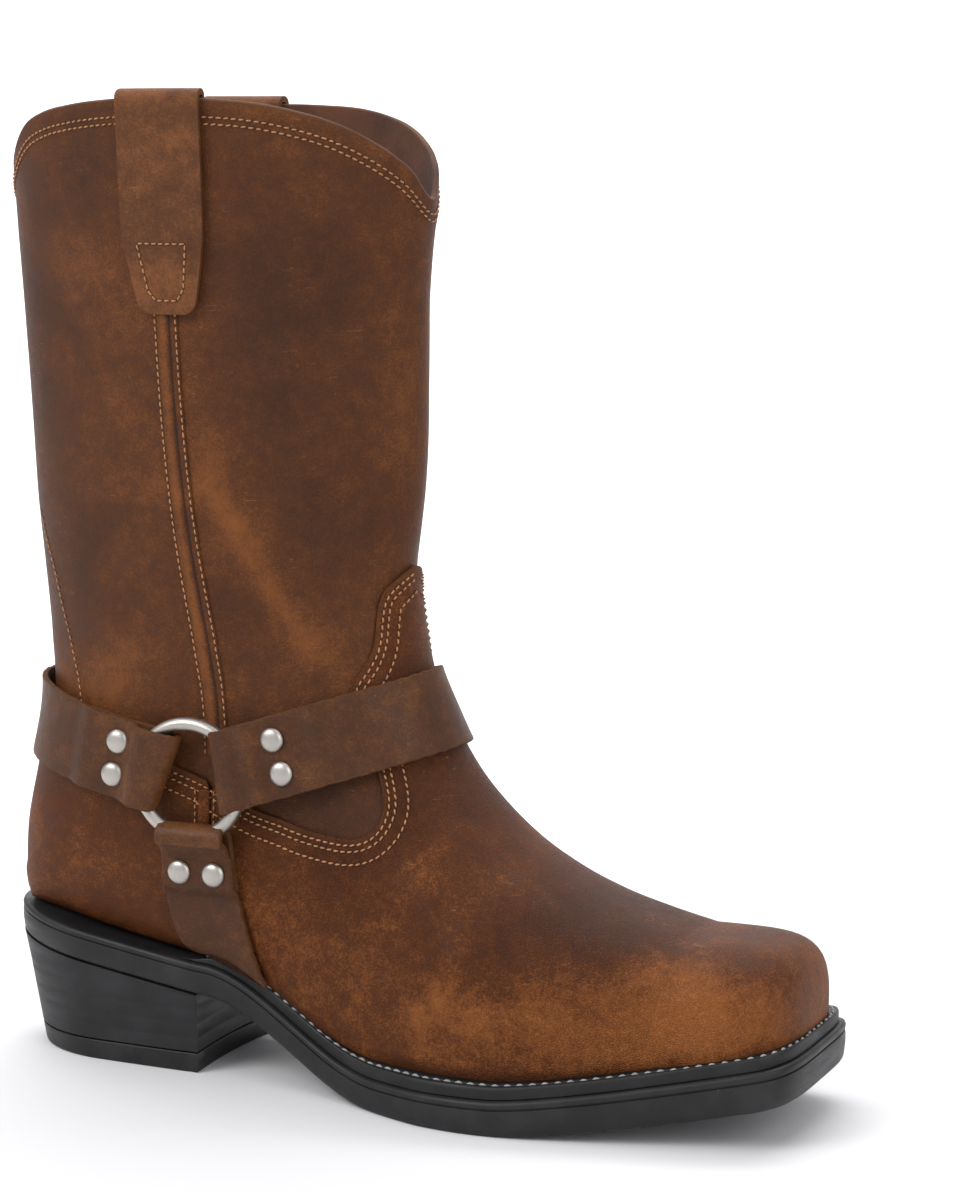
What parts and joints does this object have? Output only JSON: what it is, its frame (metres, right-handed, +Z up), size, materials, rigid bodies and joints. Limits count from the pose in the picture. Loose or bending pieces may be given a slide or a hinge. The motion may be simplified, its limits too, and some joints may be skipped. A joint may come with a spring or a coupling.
{
  "type": "harness boot",
  "caption": "Pull-on leather harness boot for the right foot: tall shaft, square toe, stacked heel, and straps held by a ring on each side.",
  "frame": {"origin": "on the floor, in the middle of the heel's flat underside", "axes": "+X towards the toe, +Y towards the inner (medial) side, +Z up the shaft"},
  "size_m": [0.3059, 0.1136, 0.344],
  "materials": {
    "shaft_leather": "oiled brown leather",
    "vamp_leather": "oiled tan-brown leather",
    "strap_leather": "dark brown leather",
    "insole_leather": "plain tan leather",
    "welt_leather": "black dressed leather",
    "sole_rubber": "satin black",
    "heel_stack": "black dressed stacked leather",
    "nickel": "satin nickel"
  },
  "bodies": {
    "root": {"upper": "shaft_leather", "vamp": "vamp_leather", "counter": "vamp_leather", "insole": "insole_leather", "welt": "welt_leather", "outsole": "sole_rubber", "heel_stack": "heel_stack", "heel_cap": "sole_rubber", "strap_front": "strap_leather", "strap_back": "strap_leather", "strap_down_lateral": "strap_leather", "strap_down_medial": "strap_leather", "side_seam_lateral": "shaft_leather", "side_seam_medial": "shaft_leather", "pull_strap_lateral": "shaft_leather", "pull_strap_medial": "shaft_leather", "ring_lateral": "nickel", "ring_medial": "nickel", "rivet_front_lateral_1": "nickel", "rivet_front_lateral_2": "nickel", "rivet_back_lateral_1": "nickel", "rivet_back_lateral_2": "nickel", "rivet_down_lateral_1": "nickel", "rivet_down_lateral_2": "nickel", "rivet_front_medial_1": "nickel", "rivet_front_medial_2": "nickel", "rivet_back_medial_1": "nickel", "rivet_back_medial_2": "nickel", "rivet_down_medial_1": "nickel", "rivet_down_medial_2": "nickel"}
  },
  "joints": []
}
